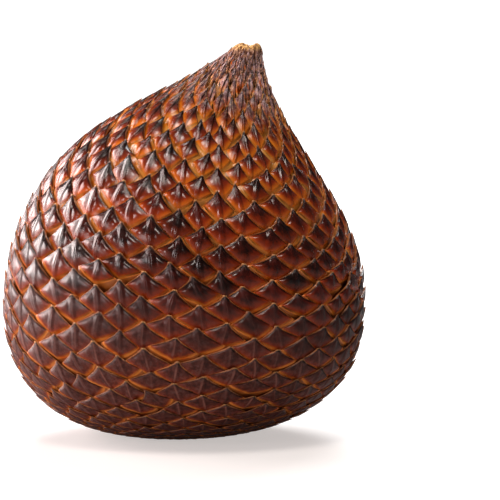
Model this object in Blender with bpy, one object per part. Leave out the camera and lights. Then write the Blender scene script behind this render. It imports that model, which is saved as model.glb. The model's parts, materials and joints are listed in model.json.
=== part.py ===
"""A snake fruit, the scaly fruit of a salak palm, whole and standing on a small flat spot.

The body is turned about an axis that bends, so that the stalk end leans to +X. Its skin is a
staggered net of scales. Each scale is a low four-sided pyramid whose point is pulled towards the
stalk. The stalk end is cut level. Units are metres and +Z is up. The origin is on the plane that
the fruit stands on, under the middle of its bounding box.
"""

import math

import bmesh
import bpy
from mathutils import Vector
from mathutils.geometry import interpolate_bezier

# The body. "Along" is measured on the bent axis, from the flat spot to its end above the level cut.
AXIS_LENGTH = 0.0705
BODY_RADIUS = 0.0302
WIDEST_ALONG = 0.0236
FLAT_SPOT_RADIUS = 0.0060
STALK_RADIUS = 0.0013
STALK_CUT_HEIGHT = 0.0659
STALK_LEAN = math.radians(22.8)

# The handles that shape the outline's two curves, from flat spot to belly and from belly to stalk.
UNDERSIDE_HANDLE = 0.0059
BELLY_HANDLE_DOWN = 0.0210
BELLY_HANDLE_UP = 0.0251
NECK_HANDLE = 0.0150
CURVE_POINTS = 240

# The scales. The pitch is the distance between rings at each share of the axis length.
SCALES_ROUND = 21
RING_PITCH = (
    (0.00, 0.0013),
    (0.06, 0.0019),
    (0.35, 0.0022),
    (0.76, 0.0027),
    (0.88, 0.0018),
    (1.00, 0.0010),
)
POINT_RISE = 0.00045
POINT_PULL = 0.35
GROOVE_DEPTH = 0.00035
RELIEF_FADE = 0.012
STALK_FADE = 0.006

# The skin's colour in the finished part, as linear red, green and blue.
SKIN_COLOUR = (0.115, 0.028, 0.012, 1.0)
SKIN_ROUGHNESS = 0.38


def smooth_step(share):
    """0 below 0, 1 above 1 and an even S between."""
    share = min(1.0, max(0.0, share))
    return share * share * (3.0 - 2.0 * share)


def interpolate(table, key):
    """The value at key in a table of (key, value) pairs, on straight lines between them."""
    for (key_a, value_a), (key_b, value_b) in zip(table, table[1:]):
        if key <= key_b:
            share = (key - key_a) / (key_b - key_a)
            return value_a + share * (value_b - value_a)
    return table[-1][1]


def half_outline():
    """Points (radius, along) of the turned outline, from the flat spot's rim to the stalk."""
    rim = Vector((FLAT_SPOT_RADIUS, 0.0))
    belly = Vector((BODY_RADIUS, WIDEST_ALONG))
    stalk = Vector((STALK_RADIUS, AXIS_LENGTH))
    down, up = Vector((0.0, -BELLY_HANDLE_DOWN)), Vector((0.0, BELLY_HANDLE_UP))
    underside, neck = Vector((UNDERSIDE_HANDLE, 0.0)), Vector((0.0, NECK_HANDLE))
    lower = interpolate_bezier(rim, rim + underside, belly + down, belly, CURVE_POINTS)
    upper = interpolate_bezier(belly, belly + up, stalk - neck, stalk, CURVE_POINTS)
    return lower + upper[1:]


def ring_stations(outline):
    """(radius, along, outward normal, distance walked) at each ring of scales, a pitch apart."""
    walked = [0.0]
    for a, b in zip(outline, outline[1:]):
        walked.append(walked[-1] + (b - a).length)
    distances = [0.0]
    at = 0
    while distances[-1] < walked[-1]:
        while walked[at + 1] < distances[-1]:
            at += 1
        distances.append(distances[-1] + interpolate(RING_PITCH, outline[at].y / AXIS_LENGTH))
    fit = walked[-1] / distances[-1]
    stations = []
    at = 0
    for distance in distances:
        distance *= fit
        while at < len(outline) - 2 and walked[at + 1] < distance:
            at += 1
        step = outline[at + 1] - outline[at]
        point = outline[at] + step.normalized() * (distance - walked[at])
        stations.append((point, Vector((step.y, -step.x)).normalized(), distance))
    return stations


def bend(radius, along, angle):
    """The place of a point of the straight turned body once its axis is bent towards +X."""
    turn_radius = AXIS_LENGTH / STALK_LEAN
    lean = along / turn_radius
    out = radius * math.cos(angle)
    x = turn_radius * (1.0 - math.cos(lean)) + out * math.cos(lean)
    z = turn_radius * math.sin(lean) - out * math.sin(lean)
    return Vector((x, radius * math.sin(angle), z))


def scale_net(stations):
    """Rings of points, where every second point is a scale's raised point and the rest are grooves."""
    columns = 2 * SCALES_ROUND
    last = stations[-1][2]
    rings = []
    for i, (point, normal, distance) in enumerate(stations):
        relief = smooth_step(distance / RELIEF_FADE) * smooth_step((last - distance) / STALK_FADE)
        pull = Vector((-normal.y, normal.x)) * POINT_PULL * relief
        pull *= stations[min(i + 1, len(stations) - 1)][2] - distance
        raised = point + normal * POINT_RISE * relief + pull
        sunk = point - normal * GROOVE_DEPTH * relief
        ring = []
        for j in range(columns):
            place = raised if (i + j) % 2 == 0 else sunk
            ring.append(bend(place.x, place.y, 2.0 * math.pi * j / columns))
        rings.append(ring)
    return rings


def centre_over_origin(rings):
    """Moves the points sideways, so that the middle of their box is over the origin."""
    points = [point for ring in rings for point in ring]
    for axis in (0, 1):
        low = min(point[axis] for point in points)
        high = max(point[axis] for point in points)
        for point in points:
            point[axis] -= (low + high) / 2.0


def cut_level(mesh, height):
    """Takes away all above a level plane, and closes the cut with one flat face."""
    everything = mesh.verts[:] + mesh.edges[:] + mesh.faces[:]
    cut = bmesh.ops.bisect_plane(
        mesh, geom=everything, plane_co=(0.0, 0.0, height), plane_no=(0.0, 0.0, 1.0), clear_outer=True
    )
    rim = [part for part in cut["geom_cut"] if isinstance(part, bmesh.types.BMEdge)]
    bmesh.ops.edgeloop_fill(mesh, edges=rim)
    bmesh.ops.recalc_face_normals(mesh, faces=mesh.faces[:])


def skin_material():
    """The scaly skin's glossy red-brown."""
    material = bpy.data.materials.new("scaly_skin")
    material.use_nodes = True
    shader = material.node_tree.nodes["Principled BSDF"]
    shader.inputs["Base Color"].default_value = SKIN_COLOUR
    shader.inputs["Roughness"].default_value = SKIN_ROUGHNESS
    shader.inputs["Metallic"].default_value = 0.0
    return material


def snake_fruit():
    """The whole fruit, one closed solid: the scale net, the flat spot and the level stalk cut."""
    rings = scale_net(ring_stations(half_outline()))
    centre_over_origin(rings)

    mesh = bmesh.new()
    net = [[mesh.verts.new(point) for point in ring] for ring in rings]
    columns = len(net[0])
    for i, (lower, upper) in enumerate(zip(net, net[1:])):
        for j in range(columns):
            k = (j + 1) % columns
            a, b, c, d = lower[j], lower[k], upper[k], upper[j]
            if (i + j) % 2 == 0:
                mesh.faces.new((a, b, d))
                mesh.faces.new((b, c, d))
            else:
                mesh.faces.new((a, b, c))
                mesh.faces.new((a, c, d))
    mesh.faces.new(reversed(net[0]))
    mesh.faces.new(net[-1])
    cut_level(mesh, STALK_CUT_HEIGHT)

    data = bpy.data.meshes.new("snake_fruit")
    mesh.to_mesh(data)
    mesh.free()
    data.materials.append(skin_material())
    fruit = bpy.data.objects.new("snake_fruit", data)
    bpy.context.scene.collection.objects.link(fruit)
    return fruit


def main():
    for old in list(bpy.data.objects):
        bpy.data.objects.remove(old)
    snake_fruit()


main()
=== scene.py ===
"""The looks of a snake fruit: a coat of overlapping pointed scales over a skin, drawn up to a picked
stalk end. Lengths are metres, +Z is up, and sizes follow the frame's own solid."""

import json
import math
import random

import bmesh
import bpy
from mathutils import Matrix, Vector
from mathutils.geometry import interpolate_bezier

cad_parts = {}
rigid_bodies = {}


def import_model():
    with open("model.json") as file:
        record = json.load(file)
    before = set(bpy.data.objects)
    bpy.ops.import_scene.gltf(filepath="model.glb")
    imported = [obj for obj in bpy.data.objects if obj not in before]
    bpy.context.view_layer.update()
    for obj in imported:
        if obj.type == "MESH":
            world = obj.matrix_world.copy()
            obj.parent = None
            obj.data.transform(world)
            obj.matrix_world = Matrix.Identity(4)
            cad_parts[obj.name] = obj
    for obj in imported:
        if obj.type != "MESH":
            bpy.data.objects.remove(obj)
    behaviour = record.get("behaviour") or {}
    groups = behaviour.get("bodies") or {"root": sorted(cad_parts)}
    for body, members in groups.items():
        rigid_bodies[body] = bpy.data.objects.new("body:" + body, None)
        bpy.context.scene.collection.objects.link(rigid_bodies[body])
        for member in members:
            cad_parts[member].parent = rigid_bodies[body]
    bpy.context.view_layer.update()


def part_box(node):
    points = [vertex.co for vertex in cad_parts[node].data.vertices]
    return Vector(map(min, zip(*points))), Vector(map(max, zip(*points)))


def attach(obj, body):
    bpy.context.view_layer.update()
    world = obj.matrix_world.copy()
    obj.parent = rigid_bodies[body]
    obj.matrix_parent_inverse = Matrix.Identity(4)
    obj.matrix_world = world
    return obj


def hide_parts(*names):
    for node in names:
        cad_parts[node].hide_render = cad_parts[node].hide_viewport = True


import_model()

# ---------------------------------------------------------------------------------------------
# Sizes. The fruit's lengths are shares of its half width, which the frame gives.
# ---------------------------------------------------------------------------------------------

LOW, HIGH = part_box("snake_fruit")
HALF_WIDTH = (HIGH.y - LOW.y) / 2.0
TOP = HIGH.z

# The turned outline. "Along" is measured on the bent axis, from the flat spot upwards. Two Bezier
# curves meet at the belly, and the handles are theirs. The lean is the axis's at the stalk.
AXIS_LENGTH = 2.307 * HALF_WIDTH
WIDEST_ALONG = 0.774 * HALF_WIDTH
FLAT_SPOT_RADIUS = 0.196 * HALF_WIDTH
STALK_RADIUS = 0.045 * HALF_WIDTH
STALK_LEAN = math.radians(22.8)
BEND_RADIUS = AXIS_LENGTH / STALK_LEAN
UNDERSIDE_HANDLE = 0.192 * HALF_WIDTH
BELLY_HANDLE_DOWN = 0.687 * HALF_WIDTH
BELLY_HANDLE_UP = 0.822 * HALF_WIDTH
NECK_HANDLE = 0.492 * HALF_WIDTH
CURVE_POINTS = 240

# The scales. The pitch is the distance between rings, in half widths, at each share of the axis
# length. Rings are counted up from the flat spot's middle, and the coat starts at FIRST_RING.
# COAT_THICKNESS is a share of a scale's own size.
SCALES_ROUND = 21
RING_PITCH = (
    (0.00, 0.043),
    (0.06, 0.060),
    (0.35, 0.067),
    (0.76, 0.082),
    (0.88, 0.056),
    (1.00, 0.033),
)
STEPS_PER_RING = 6
FIRST_RING = 3
COAT_THICKNESS = 0.185
SEED = 7
# The rows of scales wind round the fruit at this slope to its meridians, and turn no faster than
# at WIND_RADIUS from the axis.
WIND = -0.16
WIND_RADIUS = 0.12 * HALF_WIDTH
# The coat is thicker and stands proud on the neck, and lies flat low down and at the round end.
# Each span is given as shares of the axis length.
NECK_SPAN = (0.72, 0.92)
NECK_SWELL = 1.10
NECK_LIFT = 0.42
LOW_SPAN = (0.14, 0.46)
LOW_PRESS = 0.40
POLE_SPAN = (0.00, 0.08)
POLE_PRESS = 0.30
# How far the coat's points stand out from the outline, in half widths, at each share of the axis
# length. At the top they are tucked in, so that the stalk end stands clear of them.
PROUD = (
    (0.00, 0.000),
    (0.06, 0.010),
    (0.20, 0.013),
    (0.33, 0.000),
    (0.45, 0.000),
    (0.62, 0.012),
    (0.75, 0.018),
    (0.85, 0.016),
    (0.94, 0.006),
    (1.00, -0.016),
)


def interpolate(table, key):
    """The value at key in a table of (key, value) pairs, on straight lines between them."""
    for (key_a, value_a), (key_b, value_b) in zip(table, table[1:]):
        if key <= key_b:
            share = (key - key_a) / (key_b - key_a)
            return value_a + share * (value_b - value_a)
    return table[-1][1]


def span_share(value, span):
    """0 before the span, 1 after it and an even S between."""
    share = min(1.0, max(0.0, (value - span[0]) / (span[1] - span[0])))
    return share * share * (3.0 - 2.0 * share)


# ---------------------------------------------------------------------------------------------
# The body's form
# ---------------------------------------------------------------------------------------------


def half_outline():
    """Points (radius, along) of the turned outline, from the middle of the flat spot upwards."""
    rim = Vector((FLAT_SPOT_RADIUS, 0.0))
    belly = Vector((HALF_WIDTH, WIDEST_ALONG))
    stalk = Vector((STALK_RADIUS, AXIS_LENGTH))
    underside = Vector((UNDERSIDE_HANDLE, 0.0))
    down = Vector((0.0, -BELLY_HANDLE_DOWN))
    up = Vector((0.0, BELLY_HANDLE_UP))
    neck = Vector((0.0, NECK_HANDLE))
    lower = interpolate_bezier(rim, rim + underside, belly + down, belly, CURVE_POINTS)
    upper = interpolate_bezier(belly, belly + up, stalk - neck, stalk, CURVE_POINTS)
    return [Vector((0.0, 0.0))] + lower + upper[1:]


def pitch_line():
    """Points (radius, along) on the outline, STEPS_PER_RING of them to each ring of scales."""
    outline = half_outline()
    walked = [0.0]
    for a, b in zip(outline, outline[1:]):
        walked.append(walked[-1] + (b - a).length)
    line, distance, at = [], 0.0, 0
    while distance < walked[-1]:
        while walked[at + 1] < distance:
            at += 1
        step = (outline[at + 1] - outline[at]).normalized()
        line.append(outline[at] + step * (distance - walked[at]))
        pitch = interpolate(RING_PITCH, line[-1].y / AXIS_LENGTH) * HALF_WIDTH
        distance += pitch / STEPS_PER_RING
    return line


def bend(radius, along, angle, shift=0.0):
    """The place of a point of the straight turned body once its axis is bent towards +X.
    The flat spot's middle is then at shift on X."""
    lean = along / BEND_RADIUS
    out = radius * math.cos(angle)
    x = BEND_RADIUS * (1.0 - math.cos(lean)) + out * math.cos(lean)
    z = BEND_RADIUS * math.sin(lean) - out * math.sin(lean)
    return Vector((x + shift, radius * math.sin(angle), z))


def line_run(line, i):
    """The run of a line past its point i, and the way out of the fruit that is square to it."""
    run = line[min(i + 1, len(line) - 1)] - line[i - 1]
    return run, Vector((run.y, -run.x)).normalized()


def proud_line():
    """The pitch line, moved out to where the coat's points are."""
    line = pitch_line()
    moved = [line[0]]
    for i in range(1, len(line)):
        _, outward = line_run(line, i)
        proud = interpolate(PROUD, line[i].y / AXIS_LENGTH) * HALF_WIDTH
        moved.append(line[i] + outward * proud)
    return moved


LINE = proud_line()
RING_COUNT = len(LINE) // STEPS_PER_RING


def winding():
    """The angle that the rows of scales have wound round the fruit at each point of LINE."""
    angles = [0.0]
    for a, b in zip(LINE, LINE[1:]):
        angles.append(angles[-1] + WIND * (b - a).length / max(b.x, WIND_RADIUS))
    return angles


def base_x():
    """Where the flat spot's middle is on X, with the bent body in the middle of the frame's box."""
    left = min(bend(point.x, point.y, math.pi).x for point in LINE)
    right = max(bend(point.x, point.y, 0.0).x for point in LINE)
    return (LOW.x + HIGH.x) / 2.0 - (left + right) / 2.0


BASE_X = base_x()


# ---------------------------------------------------------------------------------------------
# Pieces
# ---------------------------------------------------------------------------------------------


def linked(name, data):
    """A new object of some data, linked into the scene."""
    made = bpy.data.objects.new(name, data)
    bpy.context.scene.collection.objects.link(made)
    return made


def ringed_piece(name, rings, finish):
    """A closed, smooth piece from rings of places, lowest first, joined up and capped."""
    mesh = bmesh.new()
    rings = [[mesh.verts.new(place) for place in ring] for ring in rings]
    for lower, upper in zip(rings, rings[1:]):
        for j in range(len(lower)):
            k = (j + 1) % len(lower)
            mesh.faces.new((lower[j], lower[k], upper[k], upper[j]))
    mesh.faces.new(list(reversed(rings[0])))
    mesh.faces.new(rings[-1])
    data = bpy.data.meshes.new(name)
    mesh.to_mesh(data)
    mesh.free()
    data.materials.append(finish)
    data.shade_smooth()
    return linked(name, data)


# ---------------------------------------------------------------------------------------------
# Node trees: one class for adding nodes and one for doing arithmetic on their sockets
# ---------------------------------------------------------------------------------------------


class Wire:
    """An output socket. Arithmetic on wires and numbers adds Math nodes to the socket's tree."""

    def __init__(self, net, socket):
        self.net = net
        self.socket = socket

    def maths(self, operation, *others):
        """A Math node with this wire first and the others after it."""
        values = dict(enumerate((self, *others)))
        return self.net.add("ShaderNodeMath", {"operation": operation}, values)

    def __add__(self, other):
        return self.maths("ADD", other)

    def __radd__(self, other):
        return self.maths("ADD", other)

    def __sub__(self, other):
        return self.maths("SUBTRACT", other)

    def __rsub__(self, other):
        return self.net.add("ShaderNodeMath", {"operation": "SUBTRACT"}, {0: other, 1: self})

    def __mul__(self, other):
        return self.maths("MULTIPLY", other)

    def __rmul__(self, other):
        return self.maths("MULTIPLY", other)

    def __truediv__(self, other):
        return self.maths("DIVIDE", other)

    def __rtruediv__(self, other):
        return self.net.add("ShaderNodeMath", {"operation": "DIVIDE"}, {0: other, 1: self})

    def __neg__(self):
        return self.maths("MULTIPLY", -1.0)

    def __pow__(self, other):
        return self.maths("POWER", other)

    def step_up(self, start, end):
        """0 where the wire is below start, 1 above end, and an even S between."""
        values = {"Value": self, "From Min": start, "From Max": end}
        return self.net.add("ShaderNodeMapRange", {"interpolation_type": "SMOOTHSTEP"}, values)

    def step_down(self, start, end):
        """1 where the wire is below start, 0 above end, and an even S between."""
        values = {"Value": self, "From Min": start, "From Max": end, "To Min": 1.0, "To Max": 0.0}
        return self.net.add("ShaderNodeMapRange", {"interpolation_type": "SMOOTHSTEP"}, values)


class Net:
    """A node tree that is being wired up."""

    def __init__(self, tree):
        self.tree = tree

    def add(self, kind, settings=None, values=None, output=0):
        """A node of a kind with its settings made first, then its sockets. Returns an output."""
        node = self.tree.nodes.new(kind)
        for name, setting in (settings or {}).items():
            setattr(node, name, setting)
        for key, value in (values or {}).items():
            if isinstance(value, Wire):
                self.tree.links.new(value.socket, node.inputs[key])
            else:
                node.inputs[key].default_value = value
        return Wire(self, node.outputs[output]) if len(node.outputs) else None

    def vector(self, operation, *values, output=0):
        """A Vector Math node."""
        settings = {"operation": operation}
        return self.add("ShaderNodeVectorMath", settings, dict(enumerate(values)), output)

    def combine(self, x, y, z):
        """A vector from its three numbers."""
        return self.add("ShaderNodeCombineXYZ", None, {0: x, 1: y, 2: z})

    def separate(self, vector):
        """The three numbers of a vector."""
        first = self.add("ShaderNodeSeparateXYZ", None, {0: vector})
        return [Wire(self, socket) for socket in first.socket.node.outputs]

    def blend(self, share, a, b):
        """A number between a and b."""
        return self.add("ShaderNodeMix", {"data_type": "FLOAT"}, {0: share, 2: a, 3: b})

    def blend_vector(self, share, a, b):
        """A vector between a and b."""
        settings = {"data_type": "VECTOR"}
        return self.add("ShaderNodeMix", settings, {0: share, 4: a, 5: b}, output=1)

    def tint(self, share, a, b):
        """A colour between a and b."""
        return self.add("ShaderNodeMix", {"data_type": "RGBA"}, {0: share, 6: a, 7: b}, output=2)


# ---------------------------------------------------------------------------------------------
# The blanks that the coat is laid from
# ---------------------------------------------------------------------------------------------

# A scale's two upper edges flare from its blunt point like the sides of a witch's hat.
POINT_WIDTH = 0.07
SHOULDER_DOWN = 1.25
FLARE = 1.4

# Each row of a scale, from its point downwards: how far down in ring pitches, and the heights of
# its keel and of its edges in coat thicknesses.
BLANK_ROWS = (
    (0.00, 1.00, 0.95),
    (0.18, 0.98, 0.82),
    (0.50, 0.95, 0.62),
    (0.90, 0.90, 0.42),
    (1.30, 0.85, 0.24),
    (1.85, 0.54, -0.14),
    (2.70, -0.50, -0.70),
)
# Each column of a scale: its share of the half width, and its share of the keel's height.
BLANK_COLUMNS = (
    (-1.00, 0.00),
    (-0.80, 0.58),
    (-0.19, 0.74),
    (0.00, 1.00),
    (0.19, 0.74),
    (0.80, 0.58),
    (1.00, 0.00),
)
BLANK_VARIANTS = 6
# How the blanks differ: their keels drift to a side, in half spacings, and their furrows and rows
# are higher or lower, in coat thicknesses.
KEEL_DRIFT = 0.10
FURROW_HEIGHTS = (-0.08, 0.03)
ROW_RIPPLE = 0.015
# A blank is a plate this thick, in coat thicknesses. Its underside is smaller by PLATE_UNDERCUT,
# and its hidden root narrows to ROOT_WIDTH of its half width.
PLATE_THICKNESS = 0.16
PLATE_UNDERCUT = 0.94
ROOT_WIDTH = 0.50


def flank_width(down):
    """A scale's half width, in half spacings, at a distance below its point."""
    if down <= SHOULDER_DOWN:
        return POINT_WIDTH + (1.0 - POINT_WIDTH) * (down / SHOULDER_DOWN) ** FLARE
    hidden = (down - SHOULDER_DOWN) / (BLANK_ROWS[-1][0] - SHOULDER_DOWN)
    return 1.0 + (ROOT_WIDTH - 1.0) * hidden ** 2.0


def scale_blank(name, chance):
    """One scale, flat on X (across) and Y (towards its point), with Z up from the skin."""
    keel_drift = chance.uniform(-KEEL_DRIFT, KEEL_DRIFT)
    furrows = [chance.uniform(*FURROW_HEIGHTS) for _ in BLANK_COLUMNS]
    for keel_or_edge in (0, 3, 6):
        furrows[keel_or_edge] = 0.0
    mesh = bmesh.new()
    layers = {n: mesh.verts.layers.float.new(n) for n in ("side", "down", "rim")}

    def vertex(x, down, z, rim):
        made = mesh.verts.new((x, -down, z))
        made[layers["side"]] = x
        made[layers["down"]] = down
        made[layers["rim"]] = rim
        return made

    top = []
    for down, keel, edge in BLANK_ROWS:
        half_width = flank_width(down)
        belly = math.sin(math.pi * min(1.0, down / 2.0))
        ripple = chance.uniform(-ROW_RIPPLE, ROW_RIPPLE)
        row = []
        for (share, height), furrow in zip(BLANK_COLUMNS, furrows):
            x = share * half_width + keel_drift * belly * (1.0 - abs(share))
            z = edge + (keel - edge) * height + furrow * belly + ripple
            row.append(vertex(x, down, z, 0.0))
        top.append(row)
    for upper, lower in zip(top, top[1:]):
        for j in range(len(upper) - 1):
            mesh.faces.new((upper[j + 1], upper[j], lower[j], lower[j + 1]))

    border = top[0] + [row[-1] for row in top[1:-1]]
    border += list(reversed(top[-1])) + [row[0] for row in reversed(top[1:-1])]
    skirt = []
    for v in border:
        x, y, z = v.co
        under_down = 1.0 - (y + 1.0) * PLATE_UNDERCUT
        skirt.append(vertex(x * PLATE_UNDERCUT, under_down, z - PLATE_THICKNESS, 1.0))
    for j in range(len(border)):
        k = (j + 1) % len(border)
        mesh.faces.new((border[j], border[k], skirt[k], skirt[j]))
    mesh.faces.new(list(reversed(skirt)))

    data = bpy.data.meshes.new(name)
    mesh.to_mesh(data)
    mesh.free()
    return bpy.data.objects.new(name, data)


def blank_collection():
    """The scale blanks, each a little different, for the coat to pick from."""
    chance = random.Random(SEED)
    blanks = bpy.data.collections.new("scale_blanks")
    for i in range(BLANK_VARIANTS):
        blanks.objects.link(scale_blank(f"scale_blank_{i}", chance))
    return blanks


# ---------------------------------------------------------------------------------------------
# The coat: a tree that lays the blanks in staggered rings and bends them onto the body
# ---------------------------------------------------------------------------------------------

COAT_SIZES = {
    "Scales Round": ("NodeSocketInt", SCALES_ROUND),
    "First Ring": ("NodeSocketInt", FIRST_RING),
    "Ring Count": ("NodeSocketInt", RING_COUNT - FIRST_RING),
    "Steps per Ring": ("NodeSocketInt", STEPS_PER_RING),
    "Coat Thickness": ("NodeSocketFloat", COAT_THICKNESS),
    "Bend Radius": ("NodeSocketFloat", BEND_RADIUS),
    "Base X": ("NodeSocketFloat", BASE_X),
    "Axis Length": ("NodeSocketFloat", AXIS_LENGTH),
    "Top": ("NodeSocketFloat", TOP),
    "Stalk Bare": ("NodeSocketFloat", 0.010 * HALF_WIDTH),
    "Neck Swell": ("NodeSocketFloat", NECK_SWELL),
    "Neck Lift": ("NodeSocketFloat", NECK_LIFT),
    "Low Press": ("NodeSocketFloat", LOW_PRESS),
    "Pole Press": ("NodeSocketFloat", POLE_PRESS),
    "Place Jitter": ("NodeSocketFloat", 0.12),
    "Size Jitter": ("NodeSocketFloat", 0.13),
    "Turn Jitter": ("NodeSocketFloat", 0.17),
    "Neck Jitter": ("NodeSocketFloat", 1.30),
    "Askew Share": ("NodeSocketFloat", 0.035),
    "Askew Turn": ("NodeSocketFloat", 0.55),
    "Sunk Depth": ("NodeSocketFloat", 0.16),
    "Neck Lumps": ("NodeSocketFloat", 1.1),
    "Lump Size": ("NodeSocketFloat", 0.040 * HALF_WIDTH),
    "Drift": ("NodeSocketFloat", 0.9),
    "Drift Size": ("NodeSocketFloat", 0.55 * HALF_WIDTH),
    "Seed": ("NodeSocketInt", SEED),
}


def group_inputs(net, sizes):
    """Gives the tree its geometry and named size inputs, and returns their wires by name."""
    interface = net.tree.interface
    interface.new_socket("Geometry", in_out="INPUT", socket_type="NodeSocketGeometry")
    interface.new_socket("Geometry", in_out="OUTPUT", socket_type="NodeSocketGeometry")
    for name, (kind, _) in sizes.items():
        interface.new_socket(name, in_out="INPUT", socket_type=kind)
    node = net.add("NodeGroupInput").socket.node
    return {socket.name: Wire(net, socket) for socket in node.outputs if socket.name}


def named(net, name):
    """A number stored on the geometry under a name."""
    return net.add("GeometryNodeInputNamedAttribute", {"data_type": "FLOAT"}, {"Name": name})


def store(net, geometry, name, value):
    """The geometry with a number stored on its points under a name."""
    settings = {"data_type": "FLOAT", "domain": "POINT"}
    values = {"Geometry": geometry, "Name": name, "Value": value}
    return net.add("GeometryNodeStoreNamedAttribute", settings, values)


def chance_value(net, low, high, seed):
    """An even chance between low and high for each point."""
    return net.add("FunctionNodeRandomValue", {"data_type": "FLOAT"}, {2: low, 3: high, 8: seed}, 1)


def along_line(net, line, step):
    """The pitch line's place at a number of steps, on straight lines between its points."""
    whole = step.maths("FLOOR")
    place = net.add("GeometryNodeInputPosition")
    settings = {"data_type": "FLOAT_VECTOR", "clamp": True}
    ends = []
    for shift in (0.0, 1.0):
        values = {"Geometry": line, "Value": place, "Index": whole + shift}
        ends.append(net.add("GeometryNodeSampleIndex", settings, values))
    return net.blend_vector(step - whole, *ends)


def bent_place(net, size, radius, along, angle):
    """The same bend as bend() makes, in nodes."""
    lean = along / size["Bend Radius"]
    out = radius * angle.maths("COSINE")
    x = size["Bend Radius"] * (1.0 - lean.maths("COSINE")) + out * lean.maths("COSINE")
    y = radius * angle.maths("SINE")
    z = size["Bend Radius"] * lean.maths("SINE") - out * lean.maths("SINE")
    return x + size["Base X"], y, z


def on_body(net, size, ring, angle, height):
    """The place of a point of the coat, and how far along the axis it sits.
    ring counts rings up from the flat spot's middle, and height is in coat thicknesses."""
    step = ring * size["Steps per Ring"]
    half_ring = size["Steps per Ring"] * 0.5
    here = along_line(net, size["Geometry"], step)
    ahead = along_line(net, size["Geometry"], step + half_ring)
    behind = along_line(net, size["Geometry"], step - half_ring)
    radius, along, wound = net.separate(here)
    run_radius, run_along, _ = net.separate(net.vector("SUBTRACT", ahead, behind))
    pitch = net.vector("LENGTH", net.combine(run_radius, run_along, 0.0), output=1)
    spacing = radius * (2.0 * math.pi) / size["Scales Round"]
    share = along / size["Axis Length"]
    neck = share.step_up(*NECK_SPAN)
    swell = 1.0 + size["Neck Swell"] * neck - size["Low Press"] * share.step_down(*LOW_SPAN)
    swell = swell - size["Pole Press"] * share.step_down(*POLE_SPAN)
    thickness = (spacing * pitch * 2.0).maths("SQRT") * size["Coat Thickness"] * swell
    out = (height - 1.0 + size["Neck Lift"] * neck) * thickness
    safe_pitch = pitch.maths("MAXIMUM", 1e-6)
    place = bent_place(
        net,
        size,
        radius + out * run_along / safe_pitch,
        along - out * run_radius / safe_pitch,
        angle + wound,
    )
    return place, share


# Each channel of drift reads the noise this far from the last one.
CHANNEL_APART = Vector((17.0, 5.0, 0.0))


def drift(net, size, ring, angle, channel, spread):
    """A wander over the body from -0.5 to 0.5, with waves about as long as the named size."""
    radius, along, _ = net.separate(along_line(net, size["Geometry"], ring * size["Steps per Ring"]))
    spot = net.combine(radius * angle.maths("COSINE"), radius * angle.maths("SINE"), along)
    spot = net.vector("DIVIDE", spot, net.combine(*[size[spread]] * 3))
    spot = net.vector("ADD", spot, CHANNEL_APART * channel)
    values = {"Vector": spot, "Scale": 1.0, "Detail": 1.0}
    noise = net.add("ShaderNodeTexNoise", {"noise_dimensions": "3D"}, values)
    return noise - 0.5


# What varies from scale to scale, and the size that says by how much.
JOLTS = (
    ("shift_across", "Place Jitter"),
    ("shift_up", "Place Jitter"),
    ("grow_across", "Size Jitter"),
    ("grow_down", "Size Jitter"),
    ("turn", "Turn Jitter"),
)


def scale_points(net, size):
    """A point for each scale, in staggered rings, that knows its ring, angle and looseness."""
    count = size["Scales Round"] * size["Ring Count"]
    points = net.add("GeometryNodePoints", None, {"Count": count})
    index = net.add("GeometryNodeInputIndex")
    row = (index / size["Scales Round"]).maths("FLOOR")
    column = index - row * size["Scales Round"]
    ring = row + size["First Ring"]
    stagger = ring.maths("FLOORED_MODULO", 2.0) * 0.5
    angle = (column + stagger) * (2.0 * math.pi) / size["Scales Round"]
    points = store(net, points, "ring", ring)
    points = store(net, points, "angle", angle)
    (_, _, z), share = on_body(net, size, named(net, "ring"), named(net, "angle"), 1.0)
    too_high = z.maths("GREATER_THAN", size["Top"] - size["Stalk Bare"])
    values = {"Geometry": points, "Selection": too_high}
    points = net.add("GeometryNodeDeleteGeometry", {"domain": "POINT"}, values)
    return store(net, points, "loose", 1.0 + size["Neck Jitter"] * share.step_up(*NECK_SPAN))


def varied(net, size, points):
    """The points with what makes each scale different stored on them."""
    for number, (name, jitter) in enumerate(JOLTS):
        seed = size["Seed"] + number
        jolt = chance_value(net, -size[jitter], size[jitter], seed) * named(net, "loose")
        points = store(net, points, name, jolt)
    askew = chance_value(net, 0.0, 1.0, size["Seed"] + 10.0).maths("LESS_THAN", size["Askew Share"])
    askew = askew * chance_value(net, -size["Askew Turn"], size["Askew Turn"], size["Seed"] + 14.0)
    points = store(net, points, "turn", named(net, "turn") + askew)
    points = store(net, points, "tone", chance_value(net, 0.0, 1.0, size["Seed"] + 11.0))
    sunk = chance_value(net, 0.0, size["Sunk Depth"], size["Seed"] + 12.0) * named(net, "loose")
    return store(net, points, "sunk", sunk)


def blanks_on(net, size, points):
    """A blank on each point, picked by chance, as plain geometry."""
    values = {"Collection": size["Blanks"], "Separate Children": True, "Reset Children": True}
    blanks = net.add("GeometryNodeCollectionInfo", None, values)
    settings = {"data_type": "INT"}
    values = {4: 0, 5: BLANK_VARIANTS - 1, 8: size["Seed"] + 13.0}
    pick = net.add("FunctionNodeRandomValue", settings, values, 2)
    values = {"Points": points, "Instance": blanks, "Pick Instance": True, "Instance Index": pick}
    coat = net.add("GeometryNodeInstanceOnPoints", None, values)
    return net.add("GeometryNodeRealizeInstances", None, {"Geometry": coat})


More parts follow.
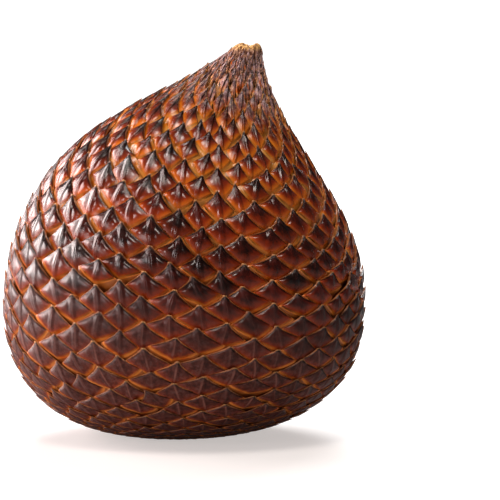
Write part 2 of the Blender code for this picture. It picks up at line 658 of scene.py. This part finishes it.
def bent_coat(net, size, coat):
    """The blanks with every point moved to its place on the body."""
    across, up, height = net.separate(net.add("GeometryNodeInputPosition"))
    turn = named(net, "turn")
    across_placed = across * (1.0 + named(net, "grow_across")) + (up + 1.0) * turn
    up_placed = up * (1.0 + named(net, "grow_down")) - across * turn
    ring = named(net, "ring") + up_placed + named(net, "shift_up")
    half_spacing = math.pi / size["Scales Round"]
    angle = named(net, "angle") + (across_placed + named(net, "shift_across")) * half_spacing
    wander = drift(net, size, ring, angle, 1, "Drift Size") * size["Drift"]
    turn_wander = drift(net, size, ring, angle, 2, "Drift Size") * size["Drift"] * half_spacing
    neck = (named(net, "loose") - 1.0) / size["Neck Jitter"]
    lumps = drift(net, size, ring, angle, 3, "Lump Size") * size["Neck Lumps"] * neck
    ring = (ring + wander).maths("MAXIMUM", 0.0)
    height = height - named(net, "sunk") + lumps
    (x, y, z), share = on_body(net, size, ring, angle + turn_wander, height)
    z = z.maths("MAXIMUM", 0.0).maths("MINIMUM", size["Top"])
    coat = store(net, coat, "region", share)
    values = {"Geometry": coat, "Position": net.combine(x, y, z)}
    return net.add("GeometryNodeSetPosition", None, values)


def coat_tree():
    """Points in staggered rings, a blank on each, and every blank bent onto the body."""
    net = Net(bpy.data.node_groups.new("scale_coat", "GeometryNodeTree"))
    extra = {"Blanks": ("NodeSocketCollection", None), "Finish": ("NodeSocketMaterial", None)}
    size = group_inputs(net, {**COAT_SIZES, **extra})
    points = varied(net, size, scale_points(net, size))
    coat = bent_coat(net, size, blanks_on(net, size, points))
    coat = net.add("GeometryNodeSetShadeSmooth", None, {"Geometry": coat, "Shade Smooth": True})
    coat = net.add("GeometryNodeSetMaterial", None, {"Geometry": coat, "Material": size["Finish"]})
    net.add("NodeGroupOutput", None, {"Geometry": coat})
    return net.tree


def line_object():
    """The pitch line as points (radius, along, angle wound), for the coat's tree to read."""
    data = bpy.data.meshes.new("pitch_line")
    points = [(point.x, point.y, wound) for point, wound in zip(LINE, winding())]
    data.from_pydata(points, [], [])
    return linked("pitch_line", data)


def run_tree(worker, tree, inputs):
    """Puts a tree on an object as a modifier, with its inputs set by their sockets."""
    modifier = worker.modifiers.new(tree.name, "NODES")
    modifier.node_group = tree
    for socket in tree.interface.items_tree:
        if socket.in_out == "INPUT" and socket.name in inputs:
            modifier[socket.identifier] = inputs[socket.name]


def plain_piece(name, worker):
    """What the worker's modifiers make, as a plain mesh piece. The worker is thrown away."""
    graph = bpy.context.evaluated_depsgraph_get()
    evaluated = worker.evaluated_get(graph)
    data = bpy.data.meshes.new_from_object(
        evaluated, preserve_all_data_layers=True, depsgraph=graph
    )
    data.name = name
    bpy.data.objects.remove(worker)
    return linked(name, data)


SHARP_EDGE = math.radians(55.0)


def scale_coat(finish):
    """The fruit's coat of scales, one mesh."""
    blanks = blank_collection()
    worker = line_object()
    inputs = {name: value for name, (_, value) in COAT_SIZES.items()}
    run_tree(worker, coat_tree(), {**inputs, "Blanks": blanks, "Finish": finish})
    piece = plain_piece("scale_coat", worker)
    piece.data.set_sharp_from_angle(angle=SHARP_EDGE)
    for blank in list(blanks.objects):
        bpy.data.objects.remove(blank)
    bpy.data.collections.remove(blanks)
    return piece


# ---------------------------------------------------------------------------------------------
# The skin under the coat
# ---------------------------------------------------------------------------------------------

SKIN_COLUMNS = 96
SKIN_BELOW_TOP = 0.02 * HALF_WIDTH
# How far the skin lies below the scales' points, in coat thicknesses.
SKIN_SUNK = 1.80


def skin_underneath(finish):
    """The closed skin that the scales grow from, its rings half a pitch apart."""
    rings = []
    for i in range(STEPS_PER_RING, len(LINE), STEPS_PER_RING // 2):
        point = LINE[i]
        run, outward = line_run(LINE, i)
        pitch = run.length * STEPS_PER_RING / 2.0
        spacing = 2.0 * math.pi * point.x / SCALES_ROUND
        share = point.y / AXIS_LENGTH
        neck = span_share(share, NECK_SPAN)
        swell = 1.0 + NECK_SWELL * neck - LOW_PRESS * (1.0 - span_share(share, LOW_SPAN))
        swell -= POLE_PRESS * (1.0 - span_share(share, POLE_SPAN))
        sunk = (SKIN_SUNK - NECK_LIFT * neck) * swell * COAT_THICKNESS
        sunk *= math.sqrt(2.0 * spacing * pitch)
        place = point - outward * sunk
        ring = []
        for j in range(SKIN_COLUMNS):
            where = bend(place.x, place.y, 2.0 * math.pi * j / SKIN_COLUMNS, BASE_X)
            where.z = min(where.z, TOP - SKIN_BELOW_TOP)
            ring.append(where)
        rings.append(ring)
    return ringed_piece("skin", rings, finish)


# ---------------------------------------------------------------------------------------------
# The picked stalk end
# ---------------------------------------------------------------------------------------------

# The stalk end's rows from where it leaves the coat, over its torn rim and down to its middle:
# radius as a share of the neck's, and depth below the top as a share of the half width.
STALK_ROWS = (
    (0.80, 0.090),
    (0.92, 0.050),
    (0.97, 0.032),
    (0.93, 0.016),
    (0.82, 0.005),
    (0.64, 0.000),
    (0.46, 0.008),
    (0.30, 0.018),
    (0.12, 0.022),
)
STALK_COLUMNS = 84
# The fibres stand in or out by this share of the radius. Most of that runs the whole way down a
# fibre, and the rest changes from row to row.
STALK_RAGGED = 0.10
FIBRE_SHARE = 0.7
# The rim is torn down by up to this, and rises and falls twice round by this.
STALK_TORN = 0.018 * HALF_WIDTH
STALK_HUMP = 0.014 * HALF_WIDTH
STALK_HUMP_TURN = 0.6


def neck_level(z):
    """The middle and half width, along X, of the outline where it crosses a level near the top."""
    sides = []
    for angle in (math.pi, 0.0):
        places = [bend(point.x, point.y, angle, BASE_X) for point in LINE[len(LINE) // 2:]]
        below = max(i for i, place in enumerate(places) if place.z <= z)
        a, b = places[below], places[min(below + 1, len(places) - 1)]
        share = (z - a.z) / max(b.z - a.z, 1e-6)
        sides.append(a.x + share * (b.x - a.x))
    return (sides[0] + sides[1]) / 2.0, (sides[1] - sides[0]) / 2.0


def stalk_end(finish):
    """The dry, torn end where the fruit was pulled off its stalk: a fibrous rim and a dished pith."""
    chance = random.Random(SEED + 1)
    fibres = [chance.uniform(-1.0, 1.0) for _ in range(STALK_COLUMNS)]
    torn = [chance.random() ** 2.0 for _ in range(STALK_COLUMNS)]
    rings = []
    for share, depth in STALK_ROWS:
        middle, radius = neck_level(TOP - depth * HALF_WIDTH)
        ring = []
        for j in range(STALK_COLUMNS):
            angle = 2.0 * math.pi * j / STALK_COLUMNS
            frayed = FIBRE_SHARE * fibres[j] + (1.0 - FIBRE_SHARE) * chance.uniform(-1.0, 1.0)
            out = share * radius * (1.0 + STALK_RAGGED * frayed)
            hump = STALK_HUMP * (0.5 - 0.5 * math.cos(2.0 * angle + STALK_HUMP_TURN))
            z = TOP - depth * HALF_WIDTH - hump - STALK_TORN * torn[j] * chance.random()
            ring.append((middle + out * math.cos(angle), out * math.sin(angle), z))
        rings.append(ring)
    return ringed_piece("stalk_end", rings, finish)


# ---------------------------------------------------------------------------------------------
# Finishes
# ---------------------------------------------------------------------------------------------


def linear(red, green, blue):
    """A colour given as 0 to 255 on a screen, as linear red, green, blue and alpha."""
    def channel(value):
        share = value / 255.0
        return share / 12.92 if share <= 0.04045 else ((share + 0.055) / 1.055) ** 2.4
    return (channel(red), channel(green), channel(blue), 1.0)


def finish_start(name, constants):
    """A new material with constants set on its shader, and the net of its tree."""
    material = bpy.data.materials.new(name)
    material.use_nodes = True
    shader = material.node_tree.nodes["Principled BSDF"]
    for key, value in constants.items():
        shader.inputs[key].default_value = value
    return material, Net(material.node_tree), shader


def feed(net, shader, wires):
    """Links wires to the shader's sockets by name."""
    for key, wire in wires.items():
        net.tree.links.new(wire.socket, shader.inputs[key])


def painted(net, name):
    """A number stored on the mesh under a name."""
    return net.add("ShaderNodeAttribute", {"attribute_name": name}, None, "Fac")


def noise(net, vector, scale, detail=3.0, roughness=0.55):
    """Fractal noise from 0 to 1."""
    values = {"Vector": vector, "Scale": scale, "Detail": detail, "Roughness": roughness}
    return net.add("ShaderNodeTexNoise", None, values)


def bump(net, height, distance, strength=1.0, below=None):
    """A Bump node's normal, over another one if given."""
    values = {"Height": height, "Distance": distance, "Strength": strength}
    if below is not None:
        values["Normal"] = below
    return net.add("ShaderNodeBump", None, values)


HEART_DARK = linear(26, 5, 2)
HEART_RED = linear(94, 18, 1)
LOW_BROWN = linear(98, 36, 20)
NECK_GREY = linear(236, 192, 194)
NECK_TAN = linear(232, 176, 132)
MARGIN_RED = linear(200, 66, 2)
MARGIN_ORANGE = linear(244, 112, 8)
# The brightest amber: partly the margin's own colour, partly a painted glow of light shining through.
MARGIN_AMBER_GLOW = linear(255, 162, 26)
# Painted shade for the crease beneath the lower scales' edges.
PAINTED_CREASE_SHADE = linear(84, 30, 6)
TIP_GREY = linear(108, 80, 76)
TIP_DARK = linear(42, 26, 24)
BEAD_TAN = linear(214, 166, 104)
# The scales' pale edge colour, also used as a painted highlight on their lit rims.
RIM_TAN = linear(216, 132, 70)
# A painted glint for the scales' bright edge lines.
RIM_GLINT = linear(255, 176, 80)
# A painted highlight along the low scales' keels.
KEEL_HIGHLIGHT_PINK = linear(168, 104, 88)

# The noises' waves to a metre.
BLOTCH_WAVES = 420.0
GRAIN_WAVES = 1400.0
FINE_WAVES = 2200.0

# How high the scales' finer relief stands.
LOBE_RISE = 0.00060
KEEL_RISE = 0.00042
BRIM_RISE = 0.00030
RIDGE_RISE = 0.00030
FINE_RISE = 0.00006
STREAK_RISE = 0.00003
FURROW_RISE = 0.00002


class ScaleSurface:
    """Wires that say where a point is on its scale and on the fruit, and how it varies there."""

    def __init__(self, net):
        self.side = painted(net, "side")
        self.down = painted(net, "down")
        self.rim = painted(net, "rim")
        self.tone = painted(net, "tone")
        self.region = painted(net, "region")

        place = net.add("ShaderNodeTexCoord", None, None, "Object")
        self.blotch = noise(net, place, BLOTCH_WAVES)
        self.fine = noise(net, place, FINE_WAVES, 2.0)
        self.grain = noise(net, place, GRAIN_WAVES, 3.0, 0.7)
        # The streaks fan out from the scale's point, differently on each scale.
        self.fan = self.side / (self.down + 0.22)
        fanned = net.combine(self.fan * 4.0, self.down * 1.2, self.tone * 40.0)
        self.streak = noise(net, fanned, 2.2, 2.0)

        # Distances: from the scale's middle, in from its own edge, and up from where the scales
        # below begin to cover it.
        self.off_middle = self.side.maths("ABSOLUTE")
        self.own_flank = (self.down / SHOULDER_DOWN) ** FLARE * (1.0 - POINT_WIDTH) + POINT_WIDTH
        self.edge = self.own_flank - self.off_middle
        open_width = (1.0 - POINT_WIDTH - self.off_middle).maths("MAXIMUM", 0.0) / (1.0 - POINT_WIDTH)
        self.lowest_seen = 1.0 + open_width ** (1.0 / FLARE) * SHOULDER_DOWN
        self.margin = (self.lowest_seen - self.down) * 0.7

        # Stretches of the fruit, from the round end to the neck.
        self.low_body = self.region.step_down(0.16, 0.42)
        self.matt = self.region.step_down(0.22, 0.52)
        self.upper = self.region.step_up(0.40, 0.78)
        self.neck = self.region.step_up(0.74, 0.88)

        # The neck's ridges, with painted shade in their valleys; the margin's orange stripe, brightened
        # by painted glow; and the dry point.
        waves = self.side * 8.0 + self.tone * 6.0 + self.blotch * 4.0
        self.ridges = waves.maths("SINE") * 0.5 + 0.5
        stripe_width = 0.16 + 0.20 * self.blotch + self.upper * (0.10 + 0.50 * self.tone)
        self.stripe = self.margin.step_down(-0.05, stripe_width)
        scuffed = (self.streak - 0.48).step_up(0.0, 0.3) * self.down.step_down(0.4, 1.1)
        dry = self.down.step_down(0.08, 0.54 - 0.12 * self.upper) + scuffed * 0.40
        self.dry = dry.maths("MINIMUM", 1.0)


def heart_colour(net, on):
    """The middle of a scale: dark to red maroon, browner low down and greyer on the neck, with painted
    shade in the valleys between the neck's ridges.
    """
    redness = (on.blotch * 0.7 + on.streak * 0.5 + on.tone * 0.35 - 0.35).step_up(0.15, 0.85)
    colour = net.tint(redness, HEART_DARK, HEART_RED)
    colour = net.tint(on.low_body * 0.8, colour, LOW_BROWN)
    greyed = on.region.step_up(0.78, 0.92) * (0.80 + 0.8 * on.blotch)
    colour = net.tint(greyed, colour, NECK_GREY)
    # Painted shade in the valleys between the neck's ridges.
    return net.tint(on.neck * on.ridges.step_down(0.0, 0.45) * 0.85, colour, HEART_DARK)


def margin_colour(net, on, colour):
    """Over that, red, then orange to amber with a painted glow, then a bright line that is a painted
    glint, down to painted shade in the crease.
    """
    wide = on.margin.step_down(-0.10, 0.55 + 0.4 * on.streak + 0.35 * on.upper)
    share = (0.40 + 0.5 * on.tone + 0.2 * on.upper) * (1.0 - 0.5 * on.low_body) * (1.0 - 0.5 * on.neck)
    colour = net.tint(wide * share, colour, MARGIN_RED)
    # The scales' own orange margin, brightened to amber towards the top as a painted glow of light
    # shining through them.
    amber_and_painted_glow = net.tint(on.upper * (0.25 + 0.7 * on.blotch), MARGIN_ORANGE, MARGIN_AMBER_GLOW)
    colour = net.tint(on.stripe * (0.72 + 0.4 * on.blotch) * (1.0 - 0.55 * on.neck), colour, amber_and_painted_glow)
    # A painted glint: the bright line along the margin where the lower scales' rims meet it.
    line = on.margin.step_down(0.03, 0.15) * (0.45 + 0.55 * on.upper) * on.blotch.step_up(0.32, 0.50)
    colour = net.tint(line * 0.9, colour, RIM_GLINT)
    # Painted shade darkens the crease under the lower scales' edges.
    return net.tint(on.margin.step_down(-0.14, -0.03) * (0.65 - 0.40 * on.upper), colour, PAINTED_CREASE_SHADE)


def point_colour(net, on, colour):
    """Over that, the dry grey point with its tan bead, and the pale line of the scale's edges: a pale
    edge colour with a painted highlight on the lit rims.
    """
    tip = net.tint(on.fine.step_up(0.35, 0.65), TIP_DARK, net.tint(on.neck, TIP_GREY, NECK_GREY))
    colour = net.tint(on.dry * 0.85, colour, tip)
    bead = on.down.step_down(0.03, 0.13 + 0.40 * on.neck + 0.08 * on.low_body)
    colour = net.tint(bead * on.tone.step_up(0.1, 0.6) * 0.8, colour, BEAD_TAN)
    # The pale edge is partly the scale's own colour and partly a painted highlight on the lit rims.
    edging_and_rim_highlight = (on.edge.step_down(0.02, 0.10) * 0.8 + on.rim.step_up(0.0, 0.5)).maths("MINIMUM", 1.0)
    edging_and_rim_highlight = edging_and_rim_highlight * (0.9 * on.blotch + 0.3 * on.tone + 0.2 * on.low_body + 0.3 * on.neck)
    return net.tint(edging_and_rim_highlight, colour, net.tint(on.neck, RIM_TAN, RIM_GLINT))


def low_specks_and_keel_highlight(net, on, colour):
    """Over that, the low scales' dark and grey specks, and a painted highlight along their keels."""
    worn = on.low_body * on.margin.step_up(0.0, 0.3)
    colour = net.tint(worn * on.grain.step_down(0.38, 0.52) * 0.55, colour, HEART_DARK)
    colour = net.tint(worn * on.grain.step_up(0.50, 0.64) * 0.40, colour, TIP_GREY)
    # A painted highlight along the keel ridge of the low scales.
    keel_highlight = on.off_middle.step_down(0.01, 0.06) * on.down.step_up(0.1, 0.4) * on.margin.step_up(0.0, 0.4)
    return net.tint(keel_highlight * on.low_body * (0.15 + 0.8 * on.tone) * on.blotch, colour, KEEL_HIGHLIGHT_PINK)


def neck_colour(net, on, colour):
    """Over that, the neck's grey crown, its dark and tan specks and its orange patches."""
    crown = on.region.step_up(0.84, 0.96)
    colour = net.tint(crown * (0.3 + 0.7 * on.blotch), colour, NECK_GREY)
    colour = net.tint(on.neck * on.grain.step_down(0.40, 0.48) * 0.7, colour, HEART_DARK)
    colour = net.tint(on.neck * on.grain.step_up(0.53, 0.60) * 0.7, colour, NECK_TAN)
    patches = on.neck * on.blotch.step_up(0.54, 0.66) * on.margin.step_down(0.2, 0.6)
    return net.tint(patches, colour, MARGIN_ORANGE)


def scale_relief(net, on):
    """The normal of the finer relief: two lobes beside a keel, a brim, furrows and grain."""
    across = (on.off_middle / on.own_flank).maths("MINIMUM", 1.0) * math.pi
    along = (on.down / on.lowest_seen).maths("MINIMUM", 1.0) ** 1.5 * math.pi
    large = on.region.step_down(0.50, 0.86) * (1.0 - 0.7 * on.low_body)
    lobe = across.maths("SINE") * along.maths("SINE") * on.down.step_up(0.1, 0.9) * large
    normal = bump(net, lobe, LOBE_RISE)
    keel = on.off_middle.step_down(0.01, 0.20) * on.down.step_up(0.02, 0.3) * on.down.step_down(1.6, 2.2)
    normal = bump(net, keel * (1.0 - 0.6 * on.low_body), KEEL_RISE, 1.0, normal)
    brim = on.edge.step_up(0.0, 0.16) * on.margin.step_up(-0.15, 0.20)
    normal = bump(net, brim, BRIM_RISE, 1.0, normal)
    furrow = (on.fan * 16.0 + (on.blotch - 0.5) * 5.0).maths("SINE") * on.down.step_up(0.05, 0.5)
    normal = bump(net, furrow * on.margin.step_up(0.0, 0.5), FURROW_RISE, 0.7, normal)
    normal = bump(net, (on.ridges + on.grain) * on.neck, RIDGE_RISE, 1.0, normal)
    normal = bump(net, on.streak * (0.5 + on.dry), STREAK_RISE, 0.6, normal)
    return bump(net, on.fine * (0.15 + on.dry), FINE_RISE, 0.7, normal)


def scale_finish():
    """Maroon scales with amber margins carrying a painted glow, painted shade in their creases, dry grey
    points and pale edges with a painted rim highlight, glossy but for the low ones.
    """
    material, net, shader = finish_start("scaly_skin", {"Coat Roughness": 0.22, "IOR": 1.5})
    on = ScaleSurface(net)
    colour = heart_colour(net, on)
    for layer in (margin_colour, point_colour, low_specks_and_keel_highlight, neck_colour):
        colour = layer(net, on, colour)
    rough = 0.18 + 0.08 * on.blotch + 0.34 * on.dry + 0.08 * on.stripe + 0.08 * on.neck + 0.26 * on.matt
    coat = (0.46 - 0.5 * on.dry - 0.20 * on.neck - 0.4 * on.matt).maths("MAXIMUM", 0.0)
    wires = {"Base Color": colour, "Roughness": rough, "Coat Weight": coat}
    feed(net, shader, {**wires, "Normal": scale_relief(net, on)})
    return material


FIBRE_DARK = linear(120, 66, 30)
FIBRE_PALE = linear(240, 186, 112)
BARK_DARK = linear(92, 48, 30)
BARK_PALE = linear(206, 156, 130)
# The strands' waves to a metre, and how far below the top they turn from bark to torn fibre.
STRANDS_ACROSS = 3200.0
STRANDS_ALONG = 500.0
BARK_DEPTH = 0.045 * HALF_WIDTH
FIBRE_DEPTH = 0.020 * HALF_WIDTH
STRAND_RISE = 0.00015


def stalk_finish():
    """Dry golden fibre at the torn top, and bark below it, both darker in their furrows."""
    material, net, shader = finish_start("stalk_fibre", {"IOR": 1.4})
    place = net.add("ShaderNodeTexCoord", None, None, "Object")
    x, y, z = net.separate(place)
    along = net.combine(x * STRANDS_ACROSS, y * STRANDS_ACROSS, z * STRANDS_ALONG)
    strands = noise(net, along, 1.0, 3.0)
    fibre = net.tint(strands.step_up(0.38, 0.58), FIBRE_DARK, FIBRE_PALE)
    bark = net.tint(strands.step_up(0.40, 0.62), BARK_DARK, BARK_PALE)
    high = z.step_up(TOP - BARK_DEPTH, TOP - FIBRE_DEPTH)
    wires = {"Base Color": net.tint(high, bark, fibre), "Roughness": 0.7 + 0.2 * strands}
    feed(net, shader, {**wires, "Normal": bump(net, strands, STRAND_RISE)})
    return material


SKIN_BROWN = linear(92, 34, 12)
SKIN_ORANGE = linear(176, 82, 24)
SKIN_WAVES = 600.0
SKIN_RISE = 0.0001


def skin_finish():
    """The dark orange-brown skin seen in the creases between the scales."""
    material, net, shader = finish_start("under_skin", {"IOR": 1.45})
    place = net.add("ShaderNodeTexCoord", None, None, "Object")
    blotch = noise(net, place, SKIN_WAVES)
    wires = {"Base Color": net.tint(blotch, SKIN_BROWN, SKIN_ORANGE), "Roughness": 0.45 + 0.25 * blotch}
    feed(net, shader, {**wires, "Normal": bump(net, blotch, SKIN_RISE)})
    return material


# ---------------------------------------------------------------------------------------------
# The stage
# ---------------------------------------------------------------------------------------------

CAMERA_DISTANCE = 0.900
CAMERA_LENS = 386.0
CAMERA_ELEVATION = math.radians(6.0)
# The camera looks this far right of the fruit's middle and this far below it.
AIM_RIGHT = 0.0110
AIM_DOWN = 0.0019

# Each lamp's name, place, side and brightness, and its red, green and blue.
LAMPS = (
    ("left", (-0.51, 0.28, 0.16), 0.50, 10.0, (1.00, 0.86, 0.84)),
    ("overhead", (-0.04, -0.24, 0.60), 0.24, 12.0, (1.00, 0.91, 0.84)),
    ("front_left", (-0.50, -0.43, 0.17), 0.17, 13.0, (1.00, 0.88, 0.88)),
    ("behind", (0.05, 0.42, 0.37), 0.35, 8.0, (1.00, 1.00, 1.00)),
)

# How white the floor is to the camera, to bounced light and in the fruit's gloss, and how much
# the floor and the room glow. The floor's glow is dimmer and warmer near the fruit: a painted soft
# shadow.
FLOOR_REACH = 6.0
FLOOR_WHITE = 0.58
FLOOR_WHITE_BOUNCED = 0.52
FLOOR_WHITE_MIRRORED = 0.08
FLOOR_GLOW_SHADED_NEAR = 0.50
FLOOR_GLOW_FAR = 1.10
FLOOR_GLOW_SPAN = (3.0 * HALF_WIDTH, 14.0 * HALF_WIDTH)
FLOOR_SHADE_WARMTH = (1.05, 0.98, 0.95)
FLOOR_GLOW_MIRRORED = 0.03
ROOM_GLOW = 0.18
ROOM_MIRRORED = 0.04


def aim(thing, target):
    """Turns a lamp or a camera to look at a point."""
    thing.rotation_mode = "QUATERNION"
    thing.rotation_quaternion = (target - thing.location).to_track_quat("-Z", "Y")


def camera():
    """A long lens a little above the fruit, with the fruit left of the middle of the view."""
    data = bpy.data.cameras.new("camera")
    data.lens = CAMERA_LENS
    data.clip_start = 0.01
    made = linked("camera", data)
    target = (LOW + HIGH) / 2.0 + Vector((AIM_RIGHT, 0.0, -AIM_DOWN))
    back = Vector((0.0, -math.cos(CAMERA_ELEVATION), math.sin(CAMERA_ELEVATION)))
    made.location = target + back * CAMERA_DISTANCE
    aim(made, target)
    bpy.context.scene.camera = made


def softbox(name, place, side, brightness, colour):
    """A square lamp of even brightness, aimed at the middle of the fruit."""
    data = bpy.data.lights.new(name, "AREA")
    data.shape = "SQUARE"
    data.size = side
    data.energy = brightness * math.pi * side * side
    data.color = colour
    made = linked(name, data)
    made.location = place
    aim(made, (LOW + HIGH) / 2.0)


def grey(value):
    """A grey, as linear red, green, blue and alpha."""
    return (value, value, value, 1.0)


def rays(net):
    """Which rays are looking: 1 for the camera's, and 1 for those of soft bounced light."""
    node = net.add("ShaderNodeLightPath").socket.node
    return Wire(net, node.outputs["Is Camera Ray"]), Wire(net, node.outputs["Is Diffuse Ray"])


def floor():
    """A white table that the fruit's gloss sees as dark."""
    data = bpy.data.meshes.new("floor")
    corners = [(-FLOOR_REACH, -FLOOR_REACH), (FLOOR_REACH, -FLOOR_REACH)]
    corners += [(FLOOR_REACH, FLOOR_REACH), (-FLOOR_REACH, FLOOR_REACH)]
    data.from_pydata([(x, y, 0.0) for x, y in corners], [], [(0, 1, 2, 3)])
    material, net, shader = finish_start("floor", {"Roughness": 0.5, "Emission Strength": 1.0})
    seen, soft = rays(net)
    spot = net.add("ShaderNodeTexCoord", None, None, "Object")
    away = net.vector("LENGTH", spot, output=1).step_up(*FLOOR_GLOW_SPAN)
    # Painted shadow: the floor glows dimmer and warmer near the fruit.
    near = [FLOOR_GLOW_SHADED_NEAR * share for share in FLOOR_SHADE_WARMTH]
    glow = net.tint(away, (*near, 1.0), grey(FLOOR_GLOW_FAR))
    unseen = net.tint(soft, grey(FLOOR_WHITE_MIRRORED), grey(FLOOR_WHITE_BOUNCED))
    wires = {
        "Base Color": net.tint(seen, unseen, grey(FLOOR_WHITE)),
        "Emission Color": net.tint(seen, grey(FLOOR_GLOW_MIRRORED), glow),
    }
    feed(net, shader, wires)
    data.materials.append(material)
    linked("floor", data)


def room():
    """A room that is bright to the camera and dim to the fruit."""
    world = bpy.data.worlds.new("studio")
    world.use_nodes = True
    bpy.context.scene.world = world
    net = Net(world.node_tree)
    background = world.node_tree.nodes["Background"]
    background.inputs["Color"].default_value = grey(1.0)
    seen, soft = rays(net)
    glow = net.blend(seen, net.blend(soft, ROOM_MIRRORED, ROOM_GLOW), FLOOR_GLOW_FAR)
    net.tree.links.new(glow.socket, background.inputs["Strength"])


def studio():
    """The camera, the floor, the room and the lamps."""
    camera()
    floor()
    room()
    for name, place, side, brightness, colour in LAMPS:
        softbox(name, Vector(place), side, brightness, colour)
    bpy.context.scene.view_settings.view_transform = "Standard"


# ---------------------------------------------------------------------------------------------
# The whole
# ---------------------------------------------------------------------------------------------


def main():
    """Makes the fruit's pieces and their stage, and hides the frame's solid."""
    coat = scale_coat(scale_finish())
    skin = skin_underneath(skin_finish())
    stalk = stalk_end(stalk_finish())
    for piece in (coat, skin, stalk):
        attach(piece, "root")
    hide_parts("snake_fruit")
    studio()


main()
